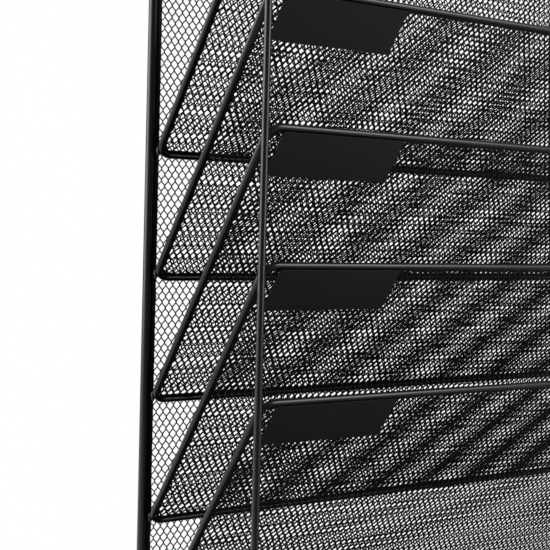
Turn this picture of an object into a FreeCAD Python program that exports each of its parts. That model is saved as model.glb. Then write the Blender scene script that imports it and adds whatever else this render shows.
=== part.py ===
import FreeCAD, Part
import math
import os

# Slanted file sorter of welded wire and expanded mesh, with millimetre sizes.
# The origin is the middle of the footprint on the desk: +X to the right,
# -Y to the front, where the pockets open, and +Z up.

# Whole object
overall_width = 330.0       # across the outside of the back frame
overall_depth = 103.7       # from the back of the back frame to the front of the uprights
pocket_count = 5
pocket_pitch = 62.0         # height from one pocket panel to the next
pocket_rise = 134.0         # height that one pocket panel climbs, bottom wire to top wire
tray_height = 40.0          # from the tray's wires up to the lowest pocket's bottom wire
floor_clearance = 2.0       # under the back frame

# Wires
back_wire = 5.0             # diameter of the back frame's wire
side_wire = 3.5             # diameter of the side frames' wire
panel_wire = 3.0            # diameter of the pocket and tray frames' wire
frame_corner_radius = 8.0   # bends of the back frame, on the wire's centre line
side_bend_radius = 12.0     # bends of the side frames, on the wire's centre line
panel_corner_radius = 7.5   # bends of the pocket and tray frames, on the wire's centre line
weld_gap = 0.1              # left between two pieces where a weld joins them

# Side frames
return_offset = 5.0         # returns lie this far inside the back frame's top and bottom wires
upright_headroom = 14.0     # from the top pocket's front wire up to the top returns
panel_inset = 1.7           # pocket frame's side wires, inwards from the uprights' centres

# Expanded mesh, with coarse diamonds that stand for its fine ones
mesh_thickness = 0.5
mesh_strand = 4.0           # between two openings
diamonds_across = 10
diamond_slimness = 1.43     # height of a diamond to its width
hem_width = 1.6             # the mesh is folded over along its edge

# Label plates
plate_width = 72.0
plate_height = 24.0
plate_thickness = 0.8
plate_corner_radius = 1.0
plate_inset = 8.6           # from the centre of the pocket frame's left wire

# Rubber feet, sleeves on the bottom returns
foot_length = 16.0
foot_wall = 0.75
foot_end_gap = 2.0          # from the bend in front and from the back frame behind
sole_round = 0.6

# Places that follow from the sizes
side_x = overall_width / 2 - back_wire / 2
back_y = overall_depth / 2 - back_wire / 2
front_y = -overall_depth / 2 + side_wire / 2
frame_bottom_z = floor_clearance + back_wire / 2
bottom_return_z = frame_bottom_z + return_offset
first_pocket_z = bottom_return_z + tray_height
top_pocket_front_z = first_pocket_z + (pocket_count - 1) * pocket_pitch + pocket_rise
top_return_z = top_pocket_front_z + upright_headroom
frame_top_z = top_return_z + return_offset
foot_width = side_wire + 2 * foot_wall
hem_thickness = 2 * mesh_thickness

# A panel's rear wire is welded on the front of the back frame.
rear_wire_y = back_y - back_wire / 2 - weld_gap - panel_wire / 2


def front_setback():
    """How far a pocket's front wire lies behind the uprights' centres, so that its rounded
    corners just meet the uprights."""
    reach = side_wire / 2 + panel_wire / 2 + weld_gap
    run = rear_wire_y - front_y
    lean_sine = run / math.hypot(run, pocket_rise)
    setback = -overall_depth
    for degrees in range(0, 91):
        turn = math.radians(degrees)
        sideways = panel_inset + panel_corner_radius * (1 - math.cos(turn))
        if sideways < reach:
            behind = panel_corner_radius * lean_sine * (1 - math.sin(turn))
            setback = max(setback, math.sqrt(reach ** 2 - sideways ** 2) - behind)
    return setback


pocket_front_y = front_y + front_setback()
pocket_run = rear_wire_y - pocket_front_y
pocket_lean = math.degrees(math.atan2(pocket_run, pocket_rise))
pocket_length = math.hypot(pocket_run, pocket_rise)
pocket_width = 2 * (side_x - panel_inset)
tray_width = 2 * (side_x - foot_width / 2 - weld_gap - panel_wire / 2)
tray_length = rear_wire_y - front_y


def vector(x, y, z=0.0):
    return FreeCAD.Vector(x, y, z)


def rounded_rectangle(width, height, radius):
    """Closed outline in the XY plane. It starts in the middle of the lower side, at the origin."""
    half = width / 2
    corner = radius * (1 - math.sqrt(0.5))
    edges = [
        Part.makeLine(vector(0, 0), vector(half - radius, 0)),
        Part.Arc(vector(half - radius, 0), vector(half - corner, corner),
                 vector(half, radius)).toShape(),
        Part.makeLine(vector(half, radius), vector(half, height - radius)),
        Part.Arc(vector(half, height - radius), vector(half - corner, height - corner),
                 vector(half - radius, height)).toShape(),
        Part.makeLine(vector(half - radius, height), vector(radius - half, height)),
        Part.Arc(vector(radius - half, height), vector(corner - half, height - corner),
                 vector(-half, height - radius)).toShape(),
        Part.makeLine(vector(-half, height - radius), vector(-half, radius)),
        Part.Arc(vector(-half, radius), vector(corner - half, corner),
                 vector(radius - half, 0)).toShape(),
        Part.makeLine(vector(radius - half, 0), vector(0, 0)),
    ]
    return Part.Wire(edges)


def stand_up(shape, lean, y, z, proud=0.0):
    """Turn a flat piece from the XY plane until its local Y climbs towards the front, lean
    degrees away from upright, and put its lower side's middle at y, z. Its local Z then faces
    the front, and proud moves it that way."""
    placed = shape.copy()
    placed.translate(vector(0, 0, proud))
    placed.rotate(vector(0, 0), vector(1, 0), 90 + lean)
    placed.translate(vector(0, y, z))
    return placed


def wire_loop(width, height, radius, diameter):
    """Round wire bent into a closed rounded rectangle and butt-welded in its lower side."""
    path = rounded_rectangle(width, height, radius)
    section = Part.Wire(Part.makeCircle(diameter / 2, vector(0, 0), vector(1, 0)))
    return path.makePipeShell([section], True, True)


def diamond(x, y, half_width, half_height, field_width, field_height):
    """Diamond face centred on x, y. One that is centred on a side of the field ends there."""
    corners = []
    for across, up in ((-1, 0), (0, -1), (1, 0), (0, 1)):
        corner_x = min(max(x + across * half_width, -field_width / 2), field_width / 2)
        corner_y = min(max(y + up * half_height, 0), field_height)
        corners.append(vector(corner_x, corner_y))
    return Part.Face(Part.makePolygon(corners + corners[:1]))


def mesh_openings(width, height):
    """Diamond openings over a field from y = 0 up, centred on x = 0. Its four corners stay closed."""
    rows = max(1, round(height * diamonds_across / (width * diamond_slimness)))
    half_width = width / diamonds_across / 2
    half_height = height / rows / 2
    opening = 1 - mesh_strand / 2 / (half_width * half_height / math.hypot(half_width, half_height))
    openings = []
    for column in range(2 * diamonds_across + 1):
        for row in range(column % 2, 2 * rows + 1, 2):
            if column in (0, 2 * diamonds_across) and row in (0, 2 * rows):
                continue
            openings.append(diamond(column * half_width - width / 2, row * half_height,
                                    opening * half_width, opening * half_height, width, height))
    return Part.makeCompound(openings)


def hemmed_mesh(width, height, radius):
    """Expanded mesh with a folded edge, centred on the XY plane."""
    outline = Part.Face(rounded_rectangle(width, height, radius))
    field_width = width - 2 * hem_width
    field_height = height - 2 * hem_width
    openings = mesh_openings(field_width, field_height)
    openings.translate(vector(0, hem_width))
    sheet = outline.cut(openings).extrude(vector(0, 0, mesh_thickness))
    sheet.translate(vector(0, 0, -mesh_thickness / 2))
    field = Part.Face(rounded_rectangle(field_width, field_height, radius - hem_width))
    field.translate(vector(0, hem_width))
    hem = outline.cut(field).extrude(vector(0, 0, hem_thickness))
    hem.translate(vector(0, 0, -hem_thickness / 2))
    return sheet.fuse(hem).removeSplitter()


def panel_mesh(width, length):
    """The mesh that fills a pocket or tray frame."""
    inset = panel_wire / 2 + weld_gap
    mesh = hemmed_mesh(width - 2 * inset, length - 2 * inset, panel_corner_radius - inset)
    mesh.translate(vector(0, inset))
    return mesh


def back_frame():
    height = frame_top_z - frame_bottom_z
    return stand_up(wire_loop(2 * side_x, height, frame_corner_radius, back_wire),
                    0, back_y, frame_bottom_z)


def back_mesh():
    """Mesh inside the back frame, flush with the front of its wire."""
    radius = back_wire / 2
    inset = math.sqrt(radius ** 2 - (radius - hem_thickness) ** 2) + weld_gap
    height = frame_top_z - frame_bottom_z
    mesh = hemmed_mesh(2 * (side_x - inset), height - 2 * inset, frame_corner_radius - inset)
    mesh.translate(vector(0, inset))
    return stand_up(mesh, 0, back_y, frame_bottom_z, radius - hem_thickness / 2)


def side_frame(x):
    """Front upright with a return at its top and one at its foot, both to the back frame."""
    rear = back_y - back_wire / 2 - weld_gap
    bend = side_bend_radius
    corner = bend * (1 - math.sqrt(0.5))
    high = top_return_z
    low = bottom_return_z
    path = Part.Wire([
        Part.makeLine(vector(x, rear, high), vector(x, front_y + bend, high)),
        Part.Arc(vector(x, front_y + bend, high), vector(x, front_y + corner, high - corner),
                 vector(x, front_y, high - bend)).toShape(),
        Part.makeLine(vector(x, front_y, high - bend), vector(x, front_y, low + bend)),
        Part.Arc(vector(x, front_y, low + bend), vector(x, front_y + corner, low + corner),
                 vector(x, front_y + bend, low)).toShape(),
        Part.makeLine(vector(x, front_y + bend, low), vector(x, rear, low)),
    ])
    section = Part.Wire(Part.makeCircle(side_wire / 2, vector(x, rear, high), vector(0, 1)))
    return path.makePipeShell([section], True, True)


def pocket_z(index):
    return first_pocket_z + index * pocket_pitch


def pocket_frame(index):
    loop = wire_loop(pocket_width, pocket_length, panel_corner_radius, panel_wire)
    return stand_up(loop, pocket_lean, rear_wire_y, pocket_z(index))


def pocket_mesh(index, flat_mesh):
    return stand_up(flat_mesh, pocket_lean, rear_wire_y, pocket_z(index))


def label_plate(index):
    """Plate on the front of a pocket's mesh, under the left end of its front wire."""
    plate = Part.Face(rounded_rectangle(plate_width, plate_height, plate_corner_radius))
    plate = plate.extrude(vector(0, 0, plate_thickness))
    upper_edge = pocket_length - panel_wire / 2 - weld_gap
    centre_x = -pocket_width / 2 + plate_inset + plate_width / 2
    plate.translate(vector(centre_x, upper_edge - plate_height))
    return stand_up(plate, pocket_lean, rear_wire_y, pocket_z(index),
                    hem_thickness / 2 + weld_gap)


def tray_frame():
    loop = wire_loop(tray_width, tray_length, panel_corner_radius, panel_wire)
    return stand_up(loop, 90, rear_wire_y, bottom_return_z)


def tray_mesh():
    return stand_up(panel_mesh(tray_width, tray_length), 90, rear_wire_y, bottom_return_z)


def foot(x, y):
    """Sleeve round a bottom return, from y backwards, standing on a flat sole."""
    block = Part.makeBox(foot_width, foot_length, bottom_return_z, vector(x - foot_width / 2, y))
    sole_edges = [edge for edge in block.Edges if edge.BoundBox.ZMax < sole_round]
    block = block.makeFillet(sole_round, sole_edges)
    sleeve = Part.makeCylinder(foot_width / 2, foot_length, vector(x, y, bottom_return_z),
                               vector(0, 1))
    passage = Part.makeCylinder(side_wire / 2 + weld_gap, foot_length,
                                vector(x, y, bottom_return_z), vector(0, 1))
    return block.fuse(sleeve).removeSplitter().cut(passage)


def rubber_feet():
    front = front_y + side_bend_radius + foot_end_gap
    rear = back_y - back_wire / 2 - foot_end_gap - foot_length
    return Part.makeCompound([foot(x, y) for x in (-side_x, side_x) for y in (front, rear)])


def build():
    pieces = {
        "back_frame": back_frame(),
        "back_mesh": back_mesh(),
        "left_side_frame": side_frame(-side_x),
        "right_side_frame": side_frame(side_x),
        "tray_frame": tray_frame(),
        "tray_mesh": tray_mesh(),
        "rubber_feet": rubber_feet(),
    }
    flat_mesh = panel_mesh(pocket_width, pocket_length)
    for index in range(pocket_count):
        number = str(index + 1)
        pieces["pocket_frame_" + number] = pocket_frame(index)
        pieces["pocket_mesh_" + number] = pocket_mesh(index, flat_mesh)
        pieces["label_plate_" + number] = label_plate(index)
    return pieces


os.makedirs("parts", exist_ok=True)
for name, shape in build().items():
    shape.exportStep("parts/" + name + ".step")
    print(name, "solids", len(shape.Solids), "cm3", round(shape.Volume / 1000, 3))
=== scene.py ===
"""Looks of a slanted file sorter: bent wire frames, expanded mesh and label plates in black powder coat."""
import math
import random
from collections import namedtuple

import bmesh
import bpy
from mathutils import Matrix, Vector


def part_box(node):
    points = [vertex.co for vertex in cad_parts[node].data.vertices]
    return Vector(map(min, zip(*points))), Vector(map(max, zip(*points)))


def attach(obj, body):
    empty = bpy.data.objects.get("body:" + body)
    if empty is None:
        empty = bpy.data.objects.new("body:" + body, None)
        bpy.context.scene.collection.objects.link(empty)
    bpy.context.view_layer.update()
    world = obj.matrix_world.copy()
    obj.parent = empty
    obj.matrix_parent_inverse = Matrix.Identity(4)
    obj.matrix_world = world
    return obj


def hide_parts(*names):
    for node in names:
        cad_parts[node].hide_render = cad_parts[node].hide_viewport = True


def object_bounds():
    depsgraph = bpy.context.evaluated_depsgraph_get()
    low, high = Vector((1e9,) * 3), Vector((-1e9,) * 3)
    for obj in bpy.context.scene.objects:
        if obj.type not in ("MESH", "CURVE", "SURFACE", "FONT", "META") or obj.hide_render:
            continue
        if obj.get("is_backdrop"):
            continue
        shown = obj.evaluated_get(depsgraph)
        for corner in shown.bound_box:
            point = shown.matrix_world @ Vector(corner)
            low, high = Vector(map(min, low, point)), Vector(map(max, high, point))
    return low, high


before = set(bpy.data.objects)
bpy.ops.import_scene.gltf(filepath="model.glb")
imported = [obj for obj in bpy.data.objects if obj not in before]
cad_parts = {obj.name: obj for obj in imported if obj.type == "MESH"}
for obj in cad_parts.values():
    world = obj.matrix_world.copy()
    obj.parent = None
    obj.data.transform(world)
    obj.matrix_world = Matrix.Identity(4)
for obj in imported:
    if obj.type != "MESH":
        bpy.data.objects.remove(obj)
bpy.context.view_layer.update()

bl_info = {
    "name": "Slanted File Sorter",
    "version": (1, 0, 0),
    "blender": (4, 5, 0),
    "location": "View3D > Sidebar > File Sorter",
    "description": "Builds the wire frames, expanded mesh and label plates of a slanted file sorter",
    "category": "Object",
}

MM = 0.001
BODY = "root"
WIRE_SIDES = 24             # faces round a wire
BEND_STEPS = 10             # rings in a quarter bend
SPARE_CELLS = 4             # openings past a sheet's outline, before it is cut out
SLIVER = 0.05               # cut openings up to this share of a whole one stay closed
NEARLY_WHOLE = 0.98         # openings from this share of a whole one have all their corners
SEAM = 0.02 * MM            # between a mesh's edge and the wire that it is welded to
TRAY_WELDS = (0.12, 0.5, 0.88)      # places of the tray's beads along its depth
BEAD_DIVISOR = 2.6          # sets how far off a post's axis its beads lie
BEAD_UNEVENNESS = 0.04      # share by which a bead's surface rises and sinks
LOOKED_AT = (1.0, -8.8, -190.0)     # millimetres from the top pocket's corner at the left upright

pocket_numbers = [n.rsplit("_", 1)[1] for n in sorted(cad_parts) if n.startswith("pocket_frame_")]


def length(name, text, millimetres):
    """A length property, given in millimetres."""
    return bpy.props.FloatProperty(name=name, description=text, default=millimetres * MM, min=0.0,
                                   unit="LENGTH", precision=5)


def colour(name, text, value):
    """A colour property, given as linear red, green and blue."""
    return bpy.props.FloatVectorProperty(name=name, description=text, default=value, size=3,
                                         min=0.0, max=1.0, subtype="COLOR")


def factor(name, text, value):
    """A share from 0 to 1."""
    return bpy.props.FloatProperty(name=name, description=text, default=value, min=0.0, max=1.0,
                                   subtype="FACTOR")


def angle(name, text, degrees):
    """An angle property, given in degrees."""
    return bpy.props.FloatProperty(name=name, description=text, default=math.radians(degrees),
                                   subtype="ANGLE")


class WireSettings(bpy.types.PropertyGroup):
    back_bend: length("Back frame bend", "Bend radius of the back frame, on the wire's centre", 8.0)
    side_bend: length("Side frame bend", "Bend radius of the side frames, on the wire's centre", 12.0)
    panel_bend: length("Pocket bend", "Bend radius of the pocket and tray frames", 7.5)
    coat: colour("Coat", "Colour of the wires' powder coat", (0.0022, 0.0022, 0.0023))
    roughness: factor("Roughness", "How matt the wires' coat is", 0.3)
    specular: factor("Specular", "How strongly the wires' coat reflects", 0.07)


class MeshSettings(bpy.types.PropertyGroup):
    back_width: length("Back opening width", "Short way of the back's openings, bond to bond", 4.13)
    back_height: length("Back opening height", "Long way of the back's openings, bond to bond", 5.9)
    pocket_width: length("Pocket opening width", "Short way of the pockets' and tray's openings", 3.94)
    pocket_height: length("Pocket opening height", "Long way of the pockets' and tray's openings", 5.63)
    back_strand: length("Back strand", "Width of the strands of the back's mesh", 0.46)
    pocket_strand: length("Pocket strand", "Width of the strands of the pockets' and tray's mesh", 0.58)
    back_bond: length("Back bond", "Length of the bonds between the back's openings", 1.05)
    pocket_bond: length("Pocket bond", "Length of the bonds between the pockets' openings", 0.6)
    back_spread: length("Back bond spread", "How much wider the back's bonds are than its strands", 0.29)
    pocket_spread: length("Pocket bond spread", "How much wider the pockets' bonds are than strands", 0.15)
    back_thickness: length("Back thickness", "Thickness of the back's flattened mesh", 0.33)
    pocket_thickness: length("Pocket thickness", "Thickness of the pockets' and tray's raised mesh", 0.84)
    tilt: bpy.props.FloatProperty(name="Tilt", default=-0.6,
                                  description="Sideways lean of a raised mesh's strands, as a slope")
    column_skew: angle("Column skew", "Lean of the top pocket's columns, and less in the lower ones", -2.0)
    row_skew: angle("Row skew", "Lean of the top pocket's rows, and the other way in the lowest one", 1.6)
    back_hem: length("Back hem", "Width of the folded edge of the back's mesh", 1.75)
    pocket_hem: length("Pocket hem", "Width of the folded edge of the pockets' and tray's mesh", 1.3)
    hem_thickness: length("Hem thickness", "Thickness of the folded edge", 0.9)
    hem_relief: length("Hem relief", "How far strands stand out of the folded edge", 0.13)
    coat: colour("Coat", "Colour of the mesh's powder coat", (0.0022, 0.0022, 0.0023))
    roughness: factor("Roughness", "How matt the mesh's coat is", 0.48)
    specular: factor("Specular", "How strongly the mesh's coat reflects", 0.026)


class PlateSettings(bpy.types.PropertyGroup):
    corner_radius: length("Corner radius", "Radius of the plates' corners", 1.0)
    edge_round: length("Edge round", "Rounding of the plates' edges under the coat", 0.1)
    coat: colour("Coat", "Colour of the plates' powder coat", (0.0046, 0.0045, 0.0054))
    roughness: factor("Roughness", "How matt the plates' coat is", 0.5)
    specular: factor("Specular", "How strongly the plates' coat reflects", 0.04)


class FootSettings(bpy.types.PropertyGroup):
    rubber: colour("Rubber", "Colour of the rubber feet", (0.016, 0.016, 0.016))
    roughness: factor("Roughness", "How matt the rubber is", 0.75)


class StageSettings(bpy.types.PropertyGroup):
    azimuth: angle("Azimuth", "Camera's turn to the sorter's left", 36.07)
    elevation: angle("Elevation", "Camera's height above level", 1.97)
    roll: angle("Roll", "Camera's tilt about its line of sight", 1.479)
    distance: length("Distance", "From the camera to the point it looks at", 574.0)
    lens: bpy.props.FloatProperty(name="Lens", description="Focal length", default=85.35, unit="CAMERA")
    lamp_level: bpy.props.FloatProperty(name="Lamp level", description="Strength of all lamps", default=1.4)
    gloss_level: bpy.props.FloatProperty(name="Gloss level", default=30.0,
                                         description="Brightness of the panels that only gloss shows")
    fill: factor("Fill", "How much the room lights the sorter", 0.25)


# Measures of an expanded sheet: its openings' spacing across and up, their bonds' length and extra
# width, its strands' width and thickness, the folded edge's width, the raised strands' tilt, and how
# far its columns and rows of openings lean.
Sheet = namedtuple("Sheet", "across up bond spread strand thickness hem tilt columns rows")


# Shapes

def finish_piece(name, bm, material, slot, *nodes):
    """Makes the bmesh a piece that rides on the sorter and stands for its CAD nodes."""
    mesh = bpy.data.meshes.new(name)
    bm.to_mesh(mesh)
    bm.free()
    piece = bpy.data.objects.new(name, mesh)
    bpy.context.scene.collection.objects.link(piece)
    mesh.materials.append(material)
    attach(piece, BODY)
    if nodes:
        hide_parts(*nodes)


def panel_place(node, wire):
    """Where a wire loop lies: (matrix, width, height) of its centre line. Drawn flat, its lower
    side's middle is at the origin, Y climbs and Z faces the front."""
    low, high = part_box(node)
    foot = Vector(((low.x + high.x) / 2, high.y - wire / 2, low.z + wire / 2))
    forward = high.y - low.y - wire
    rise = high.z - low.z - wire
    lean = math.atan2(forward, rise)
    matrix = Matrix.Translation(foot) @ Matrix.Rotation(math.pi / 2 + lean, 4, "X")
    return matrix, high.x - low.x - wire, math.hypot(forward, rise)


def wire_sizes():
    """Diameters of the back, side and panel wires, from the frame."""
    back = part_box("back_frame")
    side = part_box("left_side_frame")
    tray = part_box("tray_frame")
    return back[1].y - back[0].y, side[1].x - side[0].x, tray[1].z - tray[0].z


class WireBender:
    """Forms a round wire as a wire bender does, run by run and bend by bend, in one plane."""

    def __init__(self, diameter, start, heading, normal):
        self.bm = bmesh.new()
        self.at = Vector(start)
        self.heading = Vector(heading)
        self.normal = Vector(normal)
        turn = self.heading.to_track_quat("Z", "Y").to_matrix().to_4x4()
        made = bmesh.ops.create_circle(self.bm, cap_ends=False, radius=diameter / 2, segments=WIRE_SIDES,
                                       matrix=Matrix.Translation(self.at) @ turn)
        self.ring = list({edge for vert in made["verts"] for edge in vert.link_edges})

    def run(self, distance):
        """Draws the wire straight on."""
        made = bmesh.ops.extrude_edge_only(self.bm, edges=self.ring)["geom"]
        verts = [item for item in made if isinstance(item, bmesh.types.BMVert)]
        bmesh.ops.translate(self.bm, verts=verts, vec=self.heading * distance)
        self.ring = [item for item in made if isinstance(item, bmesh.types.BMEdge)
                     and item.verts[0] in verts and item.verts[1] in verts]
        self.at = self.at + self.heading * distance

    def bend(self, radius):
        """Turns the heading a quarter left, as seen from the side that the normal points to."""
        centre = self.at + self.normal.cross(self.heading) * radius
        made = bmesh.ops.spin(self.bm, geom=self.ring, cent=centre, axis=self.normal, angle=math.pi / 2,
                              steps=BEND_STEPS, use_merge=False, use_duplicate=False)["geom_last"]
        self.ring = [item for item in made if isinstance(item, bmesh.types.BMEdge)]
        spun = Matrix.Rotation(math.pi / 2, 3, self.normal)
        self.at = centre + spun @ (self.at - centre)
        self.heading = spun @ self.heading

    def finished(self):
        """Joins a closed loop's ends, or caps an open wire's, and gives the bmesh."""
        bmesh.ops.remove_doubles(self.bm, verts=self.bm.verts, dist=0.01 * MM)
        open_edges = [edge for edge in self.bm.edges if edge.is_boundary]
        for face in self.bm.faces:
            face.smooth = True
        if open_edges:
            bmesh.ops.holes_fill(self.bm, edges=open_edges, sides=WIRE_SIDES)
        bmesh.ops.recalc_face_normals(self.bm, faces=self.bm.faces)
        return self.bm


def bent_loop(width, height, bend, diameter):
    """Closed rounded rectangle of wire, drawn flat from the middle of its lower side."""
    bender = WireBender(diameter, (0, 0, 0), (1, 0, 0), (0, 0, 1))
    bender.run(width / 2 - bend)
    for side in (height, width, height):
        bender.bend(bend)
        bender.run(side - 2 * bend)
    bender.bend(bend)
    bender.run(width / 2 - bend)
    return bender.finished()


def loop_piece(node, wire, bend, material):
    """The wire loop that stands for a frame's CAD node."""
    matrix, width, height = panel_place(node, wire)
    bm = bent_loop(width, height, bend, wire)
    bmesh.ops.transform(bm, matrix=matrix, verts=bm.verts)
    finish_piece(node + "_wire", bm, material, "wires", node)


def rounded_plate(width, height, radius):
    """One flat rounded rectangle, from y = 0 up, centred on x = 0."""
    bm = bmesh.new()
    bmesh.ops.create_grid(bm, x_segments=1, y_segments=1, size=0.5)
    bmesh.ops.scale(bm, verts=bm.verts, vec=(width, height, 1))
    bmesh.ops.translate(bm, verts=bm.verts, vec=(0, height / 2, 0))
    bmesh.ops.bevel(bm, geom=bm.verts[:], offset=radius, affect="VERTICES", segments=6, profile=0.5,
                    material=-1)
    return bm


def thicken(bm, thickness):
    """Gives flat faces a thickness, centred on their plane."""
    bmesh.ops.solidify(bm, geom=bm.faces[:], thickness=thickness)
    heights = [vert.co.z for vert in bm.verts]
    bmesh.ops.translate(bm, verts=bm.verts, vec=(0, 0, -(min(heights) + max(heights)) / 2))
    if bm.calc_volume(signed=True) < 0:
        bmesh.ops.reverse_faces(bm, faces=bm.faces[:])


def opening_grid(width, height, radius, edge, sheet, phase=0.0):
    """Flat six-sided openings, with a bond upright at each side, over a rounded rectangle from
    y = 0 up. They are cut off at edge inside its outline. phase moves them aside, in openings."""
    bm = bmesh.new()
    count_x = 2 * math.ceil(width / sheet.across + SPARE_CELLS)
    count_y = 2 * math.ceil(height / sheet.up + SPARE_CELLS)
    bmesh.ops.create_grid(bm, x_segments=count_x, y_segments=count_y, size=0.5)
    bmesh.ops.scale(bm, verts=bm.verts, vec=(count_x, count_y, 1))
    # Every other upright edge goes, row by row, which leaves openings two squares wide in a brick
    # pattern. Then every other corner is raised, which makes the openings six-sided.
    inside_openings = []
    for rib in bm.edges:
        low, high = sorted((vert.co for vert in rib.verts), key=lambda end: end.y)
        if high.y - low.y > 0.5 and (round(low.x) + round(low.y)) % 2 == 0 and not rib.is_boundary:
            inside_openings.append(rib)
    bmesh.ops.dissolve_edges(bm, edges=inside_openings, use_verts=False)
    zigzag = 0.5 - sheet.bond / sheet.up
    raised = [vert for vert in bm.verts if (round(vert.co.x) + round(vert.co.y)) % 2]
    bmesh.ops.translate(bm, verts=bm.verts, vec=(0, -zigzag, 0))
    bmesh.ops.translate(bm, verts=raised, vec=(0, 2 * zigzag, 0))
    bmesh.ops.scale(bm, verts=bm.verts, vec=(sheet.across / 2, sheet.up / 2, 1))
    racked = Matrix(((math.cos(sheet.rows), -math.sin(sheet.columns), 0),
                     (math.sin(sheet.rows), math.cos(sheet.columns), 0), (0, 0, 1)))
    bmesh.ops.transform(bm, matrix=racked.to_4x4(), verts=bm.verts)
    bmesh.ops.translate(bm, verts=bm.verts, vec=(phase * sheet.across, height / 2, 0))
    middle = Vector((0, height / 2, 0))
    for x, y in ((1, 0), (0, 1), (-1, 0), (0, -1), (1, 1), (-1, 1), (-1, -1), (1, -1)):
        outward = Vector((x, y, 0))
        reach = Vector((x * (width / 2 - edge), y * (height / 2 - edge), 0))
        if x and y:
            inner = Vector((x * (width / 2 - radius), y * (height / 2 - radius), 0))
            reach = inner + outward.normalized() * (radius - edge)
        bmesh.ops.bisect_plane(bm, geom=bm.verts[:] + bm.edges[:] + bm.faces[:], plane_co=middle + reach,
                               plane_no=outward, clear_outer=True)
    return bm


def open_strands(bm, sheet, thickness, tilt=0.0):
    """Opens the flat grid: each face keeps a rim half a strand wide, and more at the bonds at its
    left and right. The strands are tilted as the press leaves them."""
    faces = bm.faces[:]
    largest = max(face.calc_area() for face in faces)
    cut_out = [face for face in faces if face.calc_area() > SLIVER * largest]
    whole = [face for face in cut_out if face.calc_area() > NEARLY_WHOLE * largest]
    bmesh.ops.inset_individual(bm, faces=cut_out, thickness=sheet.strand / 2, use_even_offset=True)
    # The corners beside a bond are more than a fifth of the spacing from their opening's middle.
    for way in (-1, 1):
        beside_bonds = []
        for face in whole:
            reach = face.calc_center_median().x + way * sheet.across / 5
            beside_bonds += [vert for vert in face.verts if way * (vert.co.x - reach) > 0]
        bmesh.ops.translate(bm, verts=beside_bonds, vec=(-way * sheet.spread / 2, 0, 0))
    bmesh.ops.delete(bm, geom=cut_out, context="FACES")
    thicken(bm, thickness)
    bmesh.ops.transform(bm, matrix=Matrix.Shear("XY", 4, (tilt, 0)), verts=bm.verts)
    for face in bm.faces:
        face.smooth = True


def mesh_field(width, height, radius, sheet, keep=None):
    """The open part of a mesh panel. keep chooses openings by their centre."""
    bm = opening_grid(width, height, radius, sheet.hem / 2, sheet)
    if keep:
        spare = [face for face in bm.faces if not keep(face.calc_center_median())]
        bmesh.ops.delete(bm, geom=spare, context="FACES")
    open_strands(bm, sheet, sheet.thickness, sheet.tilt)
    return bm


def mesh_hem(width, height, radius, sheet, settings):
    """The folded edge: a flat band with the folded strands pressed into both of its sides."""
    band = rounded_plate(width, height, radius)
    rim = bmesh.ops.inset_region(band, faces=band.faces[:], thickness=sheet.hem,
                                 use_boundary=True, use_even_offset=True)["faces"]
    field = [face for face in band.faces if face not in rim]
    bmesh.ops.delete(band, geom=field, context="FACES")
    thicken(band, settings.hem_thickness - 2 * settings.hem_relief)
    strands = opening_grid(width, height, radius, settings.hem_relief, sheet, phase=0.5)
    half_field = Vector((width, height)) / 2 - Vector((1, 1)) * sheet.hem
    # The folded strands end where the open part of the mesh starts.
    for x, y in ((1, 0), (0, 1), (-1, 0), (0, -1)):
        fold = Vector((x * half_field.x, height / 2 + y * half_field.y, 0))
        bmesh.ops.bisect_plane(strands, geom=strands.verts[:] + strands.edges[:] + strands.faces[:],
                               plane_co=fold, plane_no=(x, y, 0))
    spare = []
    for face in strands.faces:
        centre = face.calc_center_median()
        if abs(centre.x) < half_field.x and abs(centre.y - height / 2) < half_field.y:
            spare.append(face)
    bmesh.ops.delete(strands, geom=spare, context="FACES")
    open_strands(strands, sheet, settings.hem_thickness)
    join(band, strands)
    return band


def join(target, other):
    """Adds another bmesh's shape to target."""
    mesh = bpy.data.meshes.new("joining")
    other.to_mesh(mesh)
    other.free()
    target.from_mesh(mesh)
    bpy.data.meshes.remove(mesh)


def plate_shape(width, height, thickness, settings):
    """A sheet-metal plate with rounded corners and edges softened by its coat."""
    bm = rounded_plate(width, height, settings.corner_radius)
    thicken(bm, thickness)
    rims = [edge for edge in bm.edges if edge.calc_face_angle(0) > math.radians(60)
            and edge.verts[0].co.z * edge.verts[1].co.z > 0]
    bmesh.ops.bevel(bm, geom=rims, offset=settings.edge_round, affect="EDGES", segments=3, profile=0.5,
                    material=-1)
    for face in bm.faces:
        face.smooth = face.calc_area() < width * height / 4
    return bm


def weld_bead(bm, at, across, seed):
    """A small uneven lump of weld under the coat."""
    random.seed(seed)
    made = bmesh.ops.create_icosphere(bm, subdivisions=3, radius=0.5)["verts"]
    bmesh.ops.scale(bm, verts=made, vec=across)
    for vert in made:
        vert.co *= 1 + random.uniform(-BEAD_UNEVENNESS, BEAD_UNEVENNESS)
    bmesh.ops.smooth_vert(bm, verts=made, factor=0.5, use_axis_x=True, use_axis_y=True, use_axis_z=True)
    bmesh.ops.translate(bm, verts=made, vec=at)


def leaning_size(depth, rise, matrix):
    """Height and thickness of a leaning plate, from its box's depth and rise."""
    lean = matrix.to_euler().x - math.pi / 2
    share = math.cos(2 * lean)
    height = (rise * math.cos(lean) - depth * math.sin(lean)) / share
    thickness = (depth * math.cos(lean) - rise * math.sin(lean)) / share
    return height, thickness


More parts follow.
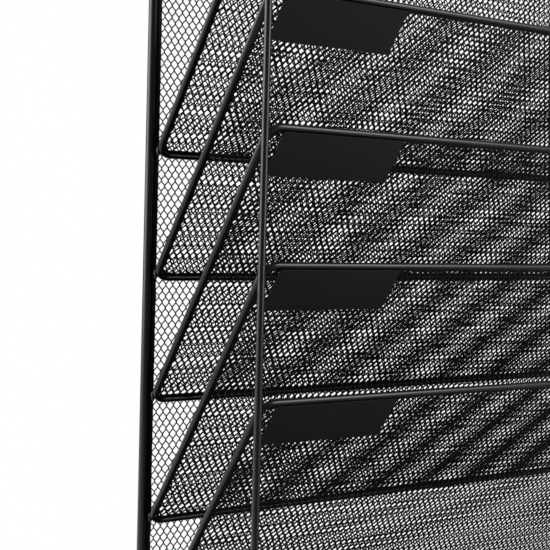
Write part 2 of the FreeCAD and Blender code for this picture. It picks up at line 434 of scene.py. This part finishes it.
def weld_on_bend(matrix, width, height, bend, post, post_wire, end):
    """Weld between a loop's bend at its right (top if end is 1, bottom if -1) and a vertical post:
    (middle, size) of the bead."""
    tries = []
    for degrees in range(0, 91, 3):
        turn = math.radians(degrees)
        x = width / 2 - bend * (1 - math.cos(turn))
        y = height / 2 + end * (height / 2 - bend * (1 - math.sin(turn)))
        at = matrix @ Vector((x, y, 0))
        tries.append((Vector((at.x - post.x, at.y - post.y, 0)), at))
    away, at = min(tries, key=lambda spot: spot[0].length)
    middle = Vector((post.x, post.y, at.z)) + away.normalized() * (post_wire + away.length) / BEAD_DIVISOR
    size = 0.5 * post_wire
    return middle, (size, size, 2.2 * size)


# Finishes

def start_material(name):
    """A new node material: (material, nodes, link, its shader, its place in the object)."""
    material = bpy.data.materials.new(name)
    material.use_nodes = True
    nodes = material.node_tree.nodes
    place = nodes.new("ShaderNodeTexCoord").outputs["Object"]
    return material, nodes, material.node_tree.links.new, nodes["Principled BSDF"], place


def noise(nodes, link, place, scale, detail):
    """A cloudy pattern from 0 to 1."""
    cloud = nodes.new("ShaderNodeTexNoise")
    cloud.inputs["Scale"].default_value = scale
    cloud.inputs["Detail"].default_value = detail
    link(place, cloud.inputs["Vector"])
    return cloud.outputs["Fac"]


def uneven_colour(nodes, link, shader, pattern, base, darkest, lightest):
    """The base colour times a share that goes from darkest to lightest with the pattern."""
    tint = nodes.new("ShaderNodeMix")
    tint.data_type = "RGBA"
    tint.inputs["A"].default_value = (*(darkest * part for part in base), 1)
    tint.inputs["B"].default_value = (*(lightest * part for part in base), 1)
    link(pattern, tint.inputs["Factor"])
    link(tint.outputs["Result"], shader.inputs["Base Color"])


def grain(nodes, link, shader, pattern, strength, depth):
    """The pattern as a fine relief."""
    bump = nodes.new("ShaderNodeBump")
    bump.inputs["Strength"].default_value = strength
    bump.inputs["Distance"].default_value = depth
    link(pattern, bump.inputs["Height"])
    link(bump.outputs["Normal"], shader.inputs["Normal"])


def powder_coat(name, coat, roughness, specular):
    """Satin powder coat: an even black with the coat's fine orange peel."""
    material, nodes, link, shader, place = start_material(name)
    shader.inputs["Specular IOR Level"].default_value = specular
    cloud = noise(nodes, link, place, scale=35, detail=4)
    uneven_colour(nodes, link, shader, cloud, coat, darkest=0.8, lightest=1.25)
    sheen = nodes.new("ShaderNodeMapRange")
    sheen.inputs["To Min"].default_value = roughness - 0.05
    sheen.inputs["To Max"].default_value = roughness + 0.06
    link(cloud, sheen.inputs["Value"])
    link(sheen.outputs["Result"], shader.inputs["Roughness"])
    peel = noise(nodes, link, place, scale=1400, detail=2)
    grain(nodes, link, shader, peel, strength=0.12, depth=0.05 * MM)
    return material


def moulded_rubber(name, rubber, roughness):
    """Matt rubber with a fine moulded grain and a dusty bloom."""
    material, nodes, link, shader, place = start_material(name)
    shader.inputs["Roughness"].default_value = roughness
    shader.inputs["Specular IOR Level"].default_value = 0.3
    bloom = noise(nodes, link, place, scale=260, detail=6)
    uneven_colour(nodes, link, shader, bloom, rubber, darkest=0.75, lightest=1.5)
    grain(nodes, link, shader, bloom, strength=0.3, depth=0.1 * MM)
    return material


def finish_of(name):
    """The wires', mesh's, plates' or feet's finish, made at its first use."""
    known = bpy.data.materials.get(name + "_finish")
    if known:
        return known
    scene = bpy.context.scene
    if name == "feet":
        return moulded_rubber("feet_finish", scene.sorter_feet.rubber, scene.sorter_feet.roughness)
    settings = {"wires": scene.sorter_wires, "mesh": scene.sorter_mesh, "plates": scene.sorter_plates}[name]
    return powder_coat(name + "_finish", settings.coat, settings.roughness, settings.specular)


# Stage

def softbox(name, turn, distance, height, size, level):
    """A soft area lamp, turn degrees round the sorter and aimed at its middle. level is how bright its
    face is."""
    low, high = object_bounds()
    middle = (low + high) / 2
    lamp = bpy.data.lights.new(name, "AREA")
    lamp.shape = "RECTANGLE"
    across, tall = size
    lamp.size = across
    lamp.size_y = tall
    lamp.energy = level * math.pi * across * tall
    holder = bpy.data.objects.new(name, lamp)
    bpy.context.scene.collection.objects.link(holder)
    aside = Vector((math.sin(math.radians(turn)), -math.cos(math.radians(turn)), 0)) * distance
    holder.location = Vector((middle.x, middle.y, 0)) + aside + Vector((0, 0, height))
    holder.rotation_euler = (middle - holder.location).to_track_quat("-Z", "Y").to_euler()
    return holder


def gloss_panels(gloss):
    """Bright panels that only reflections show: two upright ones, and two that lie on the floor and
    face up."""
    upright = (
        softbox("left_gloss_panel", turn=-112, distance=1.3, height=0.66, size=(1.2, 1.15), level=gloss),
        softbox("right_gloss_panel", turn=27.5, distance=1.3, height=0.66, size=(0.76, 1.15), level=gloss))
    lying = (
        softbox("left_floor_panel", turn=-110, distance=0.85, height=0.004, size=(1.2, 1.2),
                level=0.15 * gloss),
        softbox("right_floor_panel", turn=42, distance=0.75, height=0.004, size=(1.0, 0.8),
                level=0.07 * gloss))
    for panel in upright + lying:
        panel.visible_diffuse = False
        panel.visible_camera = False
    for panel in lying:
        panel.rotation_euler = (math.pi, 0, 0)


def seen_directly(nodes, link):
    """1 where the camera, a reflection or a clear view looks straight at a surface."""
    path = nodes.new("ShaderNodeLightPath")
    total = path.outputs["Is Camera Ray"]
    for name in ("Is Glossy Ray", "Is Transmission Ray"):
        either = nodes.new("ShaderNodeMath")
        either.operation = "MAXIMUM"
        link(total, either.inputs[0])
        link(path.outputs[name], either.inputs[1])
        total = either.outputs[0]
    return total


def white_room(scene, fill):
    """White to look at, and a weaker even fill on the sorter."""
    world = bpy.data.worlds.new("white_room")
    scene.world = world
    world.use_nodes = True
    nodes = world.node_tree.nodes
    link = world.node_tree.links.new
    strength = nodes.new("ShaderNodeMapRange")
    strength.inputs["To Min"].default_value = fill
    strength.inputs["To Max"].default_value = 1.0
    link(seen_directly(nodes, link), strength.inputs["Value"])
    background = nodes["Background"]
    background.inputs["Color"].default_value = (1, 1, 1, 1)
    link(strength.outputs["Result"], background.inputs["Strength"])


def pale_floor():
    """A pale floor that holds the sorter's shadow and fades to white further off."""
    bm = bmesh.new()
    bmesh.ops.create_circle(bm, cap_ends=True, radius=6.0, segments=64)
    mesh = bpy.data.meshes.new("floor")
    bm.to_mesh(mesh)
    bm.free()
    floor = bpy.data.objects.new("floor", mesh)
    bpy.context.scene.collection.objects.link(floor)
    floor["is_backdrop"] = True
    material = bpy.data.materials.new("pale_floor")
    material.use_nodes = True
    nodes = material.node_tree.nodes
    link = material.node_tree.links.new
    nodes.remove(nodes["Principled BSDF"])
    paper = nodes.new("ShaderNodeBsdfDiffuse")
    paper.inputs["Color"].default_value = (0.85, 0.85, 0.85, 1)
    glow = nodes.new("ShaderNodeEmission")
    place = nodes.new("ShaderNodeTexCoord")
    footprint = nodes.new("ShaderNodeVectorMath")
    footprint.operation = "MULTIPLY"
    footprint.inputs[1].default_value = (0.55, 1, 1)
    link(place.outputs["Object"], footprint.inputs[0])
    reach = nodes.new("ShaderNodeVectorMath")
    reach.operation = "LENGTH"
    link(footprint.outputs[0], reach.inputs[0])
    fade = nodes.new("ShaderNodeMapRange")
    fade.inputs["From Min"].default_value = 0.09
    fade.inputs["From Max"].default_value = 0.3
    fade.inputs["To Min"].default_value = 0.15
    link(reach.outputs["Value"], fade.inputs["Value"])
    seen = nodes.new("ShaderNodeMath")
    seen.operation = "MULTIPLY"
    link(fade.outputs["Result"], seen.inputs[0])
    link(seen_directly(nodes, link), seen.inputs[1])
    mix = nodes.new("ShaderNodeMixShader")
    link(seen.outputs[0], mix.inputs["Fac"])
    link(paper.outputs[0], mix.inputs[1])
    link(glow.outputs[0], mix.inputs[2])
    link(mix.outputs[0], nodes["Material Output"].inputs["Surface"])
    mesh.materials.append(material)


def aim_camera(scene, settings):
    """The camera looks from the front left, past the upright, at the middle pockets."""
    side_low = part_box("left_side_frame")[0]
    side_wire, panel_wire = wire_sizes()[1:]
    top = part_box("pocket_frame_" + pocket_numbers[-1])[1].z
    corner = Vector((side_low.x + side_wire / 2, side_low.y + side_wire / 2, top - panel_wire / 2))
    target = corner + Vector(LOOKED_AT) * MM
    turn = -settings.azimuth
    back = Vector((math.sin(turn) * math.cos(settings.elevation),
                   -math.cos(turn) * math.cos(settings.elevation), math.sin(settings.elevation)))
    camera = bpy.data.objects.new("camera", bpy.data.cameras.new("camera"))
    scene.collection.objects.link(camera)
    camera.data.lens = settings.lens
    camera.data.clip_start = 0.01
    aim = (-back).to_track_quat("-Z", "Y").to_matrix().to_4x4()
    camera.matrix_world = (Matrix.Translation(target + back * settings.distance) @ aim
                           @ Matrix.Rotation(settings.roll, 4, "Z"))
    scene.camera = camera


# Operators

class SORTER_OT_back_frame(bpy.types.Operator):
    """Bend the heavy wire round the back"""
    bl_idname = "sorter.back_frame"
    bl_label = "Back Frame"

    def execute(self, context):
        loop_piece("back_frame", wire_sizes()[0], context.scene.sorter_wires.back_bend, finish_of("wires"))
        return {"FINISHED"}


class SORTER_OT_side_frames(bpy.types.Operator):
    """Bend the two side frames: an upright with a return at its top and foot"""
    bl_idname = "sorter.side_frames"
    bl_label = "Side Frames"

    def execute(self, context):
        wire = wire_sizes()[1]
        bend = context.scene.sorter_wires.side_bend
        for node in ("left_side_frame", "right_side_frame"):
            low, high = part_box(node)
            start = ((low.x + high.x) / 2, high.y, high.z - wire / 2)
            bender = WireBender(wire, start, (0, -1, 0), (1, 0, 0))
            depth = high.y - low.y - wire / 2 - bend
            bender.run(depth)
            bender.bend(bend)
            bender.run(high.z - low.z - wire - 2 * bend)
            bender.bend(bend)
            bender.run(depth)
            finish_piece(node + "_wire", bender.finished(), finish_of("wires"), "wires", node)
        return {"FINISHED"}


class SORTER_OT_panel_frames(bpy.types.Operator):
    """Bend the pockets' and the tray's thin wire loops"""
    bl_idname = "sorter.panel_frames"
    bl_label = "Pocket and Tray Frames"

    def execute(self, context):
        wire = wire_sizes()[2]
        for node in ["tray_frame"] + ["pocket_frame_" + number for number in pocket_numbers]:
            loop_piece(node, wire, context.scene.sorter_wires.panel_bend, finish_of("wires"))
        return {"FINISHED"}


class SORTER_OT_back_mesh(bpy.types.Operator):
    """Expand the back's mesh and fold its edge"""
    bl_idname = "sorter.back_mesh"
    bl_label = "Back Mesh"

    def execute(self, context):
        settings = context.scene.sorter_mesh
        wires = context.scene.sorter_wires
        low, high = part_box("back_mesh")
        frame_low, frame_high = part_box("back_frame")
        wire = wire_sizes()[0]
        mesh_y = (low.y + high.y) / 2
        band = settings.hem_thickness - 2 * settings.hem_relief
        behind = (frame_low.y + frame_high.y) / 2 - mesh_y - band / 2
        inset = math.sqrt((wire / 2) ** 2 - behind ** 2) + SEAM
        radius = wires.back_bend - inset
        width = frame_high.x - frame_low.x - wire - 2 * inset
        height = frame_high.z - frame_low.z - wire - 2 * inset
        matrix = Matrix.Translation(((low.x + high.x) / 2, mesh_y, frame_low.z + wire / 2 + inset))
        matrix = matrix @ Matrix.Rotation(math.pi / 2, 4, "X")
        sheet = Sheet(settings.back_width, settings.back_height, settings.back_bond, settings.back_spread,
                      settings.back_strand, settings.back_thickness, settings.back_hem,
                      tilt=0.0, columns=0.0, rows=0.0)
        strips = {"back_mesh_hem": mesh_hem(width, height, radius, sheet, settings)}
        for number, name in enumerate(("back_mesh_lower", "back_mesh_middle", "back_mesh_upper")):
            strips[name] = mesh_field(width, height, radius, sheet,
                                      lambda at: number <= 3 * at.y / height < number + 1)
        for name, bm in strips.items():
            bmesh.ops.transform(bm, matrix=matrix, verts=bm.verts)
            finish_piece(name, bm, finish_of("mesh"), "mesh", "back_mesh")
        return {"FINISHED"}


class SORTER_OT_panel_meshes(bpy.types.Operator):
    """Expand the pockets' and the tray's mesh and fold its edges"""
    bl_idname = "sorter.panel_meshes"
    bl_label = "Pocket and Tray Mesh"

    def execute(self, context):
        settings = context.scene.sorter_mesh
        wire = wire_sizes()[2]
        inset = wire / 2 + SEAM
        radius = context.scene.sorter_wires.panel_bend - inset
        pairs = {"tray_frame": "tray_mesh"}
        pairs.update({"pocket_frame_" + number: "pocket_mesh_" + number for number in pocket_numbers})
        for step, (frame_node, node) in enumerate(pairs.items()):
            level = step / len(pocket_numbers)
            sheet = Sheet(settings.pocket_width, settings.pocket_height, settings.pocket_bond,
                          settings.pocket_spread, settings.pocket_strand, settings.pocket_thickness,
                          settings.pocket_hem, settings.tilt, columns=settings.column_skew * level,
                          rows=settings.row_skew * (2 * level - 1) if step else 0.0)
            matrix, width, height = panel_place(frame_node, wire)
            width -= 2 * inset
            height -= 2 * inset
            shapes = {"_expanded": mesh_field(width, height, radius, sheet),
                      "_hem": mesh_hem(width, height, radius, sheet, settings)}
            for ending, bm in shapes.items():
                bmesh.ops.transform(bm, matrix=matrix @ Matrix.Translation((0, inset, 0)), verts=bm.verts)
                finish_piece(node + ending, bm, finish_of("mesh"), "mesh", node)
        return {"FINISHED"}


class SORTER_OT_label_plates(bpy.types.Operator):
    """Cut the label plates and set them under the pockets' front wires"""
    bl_idname = "sorter.label_plates"
    bl_label = "Label Plates"

    def execute(self, context):
        settings = context.scene.sorter_plates
        for number in pocket_numbers:
            matrix = panel_place("pocket_frame_" + number, wire_sizes()[2])[0]
            low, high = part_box("label_plate_" + number)
            height, thickness = leaning_size(high.y - low.y, high.z - low.z, matrix)
            centre = matrix.inverted() @ ((low + high) / 2)
            bm = plate_shape(high.x - low.x, height, thickness, settings)
            place = matrix @ Matrix.Translation(centre - Vector((0, height / 2, 0)))
            bmesh.ops.transform(bm, matrix=place, verts=bm.verts)
            finish_piece("label_plate_" + number + "_sheet", bm, finish_of("plates"), "plates",
                         "label_plate_" + number)
        return {"FINISHED"}


class SORTER_OT_rubber_feet(bpy.types.Operator):
    """Give the rubber feet their finish"""
    bl_idname = "sorter.rubber_feet"
    bl_label = "Rubber Feet"

    def execute(self, context):
        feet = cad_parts["rubber_feet"]
        feet.data.materials.clear()
        feet.data.materials.append(finish_of("feet"))
        return {"FINISHED"}


class SORTER_OT_weld_beads(bpy.types.Operator):
    """Weld the pockets, tray and side frames where they touch"""
    bl_idname = "sorter.weld_beads"
    bl_label = "Weld Beads"

    def execute(self, context):
        bm = bmesh.new()
        back_wire, side_wire, panel_wire = wire_sizes()
        bend = context.scene.sorter_wires.panel_bend
        back_low, back_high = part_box("back_frame")
        side_low, side_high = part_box("right_side_frame")
        side_x = (side_low.x + side_high.x) / 2
        upright = Vector((side_x, side_low.y + side_wire / 2, 0))
        back_post = Vector((back_high.x - back_wire / 2, (back_low.y + back_high.y) / 2, 0))
        spots = []
        for number in pocket_numbers:
            matrix, width, height = panel_place("pocket_frame_" + number, panel_wire)
            spots.append(weld_on_bend(matrix, width, height, bend, upright, side_wire, 1))
            spots.append(weld_on_bend(matrix, width, height, bend, back_post, back_wire, -1))
        for z in (side_low.z + side_wire / 2, side_high.z - side_wire / 2):
            across = (side_wire * 1.3, side_wire * 0.6, side_wire * 1.3)
            spots.append((Vector((side_x, side_high.y, z)), across))
        matrix, width, height = panel_place("tray_frame", panel_wire)
        joint_x = (width / 2 + side_x) / 2
        for share in TRAY_WELDS:
            at = matrix @ Vector((joint_x, height * share, 0))
            spots.append((at, (side_x - width / 2, 2 * panel_wire, 0.8 * panel_wire)))
        for number, (at, across) in enumerate(spots):
            for side in (-1, 1):
                weld_bead(bm, Vector((side * at.x, at.y, at.z)), across, 2 * number + (side > 0))
        bmesh.ops.recalc_face_normals(bm, faces=bm.faces)
        for face in bm.faces:
            face.smooth = True
        finish_piece("weld_beads", bm, finish_of("wires"), "wires")
        return {"FINISHED"}


class SORTER_OT_stage(bpy.types.Operator):
    """Set the pale floor, the soft lamps, the white room and the camera"""
    bl_idname = "sorter.stage"
    bl_label = "Stage"

    def execute(self, context):
        settings = context.scene.sorter_stage
        white_room(context.scene, settings.fill)
        pale_floor()
        level = settings.lamp_level
        softbox("left_softbox", turn=-95, distance=1.3, height=0.9, size=(0.9, 0.9), level=2.5 * level)
        softbox("right_softbox", turn=30, distance=1.3, height=0.9, size=(0.9, 0.9), level=2.5 * level)
        softbox("top_softbox", turn=-30, distance=0.5, height=1.7, size=(1.0, 1.0), level=level)
        gloss_panels(settings.gloss_level)
        aim_camera(context.scene, settings)
        context.scene.view_settings.view_transform = "Standard"
        return {"FINISHED"}


operators = (SORTER_OT_back_frame, SORTER_OT_side_frames, SORTER_OT_panel_frames, SORTER_OT_back_mesh,
             SORTER_OT_panel_meshes, SORTER_OT_label_plates, SORTER_OT_rubber_feet, SORTER_OT_weld_beads,
             SORTER_OT_stage)


class SORTER_PT_build(bpy.types.Panel):
    """Builds the sorter piece by piece"""
    bl_idname = "SORTER_PT_build"
    bl_label = "File Sorter"
    bl_space_type = "VIEW_3D"
    bl_region_type = "UI"
    bl_category = "File Sorter"

    def draw(self, context):
        for operator in operators:
            self.layout.operator(operator.bl_idname)


settings_groups = {
    "sorter_wires": WireSettings,
    "sorter_mesh": MeshSettings,
    "sorter_plates": PlateSettings,
    "sorter_feet": FootSettings,
    "sorter_stage": StageSettings,
}


def register():
    for name, group in settings_groups.items():
        bpy.utils.register_class(group)
        setattr(bpy.types.Scene, name, bpy.props.PointerProperty(type=group))
    for item in (*operators, SORTER_PT_build):
        bpy.utils.register_class(item)


def unregister():
    for item in (SORTER_PT_build, *reversed(operators)):
        bpy.utils.unregister_class(item)
    for name, group in settings_groups.items():
        delattr(bpy.types.Scene, name)
        bpy.utils.unregister_class(group)


def main():
    register()
    bpy.ops.sorter.back_frame()
    bpy.ops.sorter.side_frames()
    bpy.ops.sorter.panel_frames()
    bpy.ops.sorter.back_mesh()
    bpy.ops.sorter.panel_meshes()
    bpy.ops.sorter.label_plates()
    bpy.ops.sorter.rubber_feet()
    bpy.ops.sorter.weld_beads()
    bpy.ops.sorter.stage()


if __name__ == "__main__":
    main()
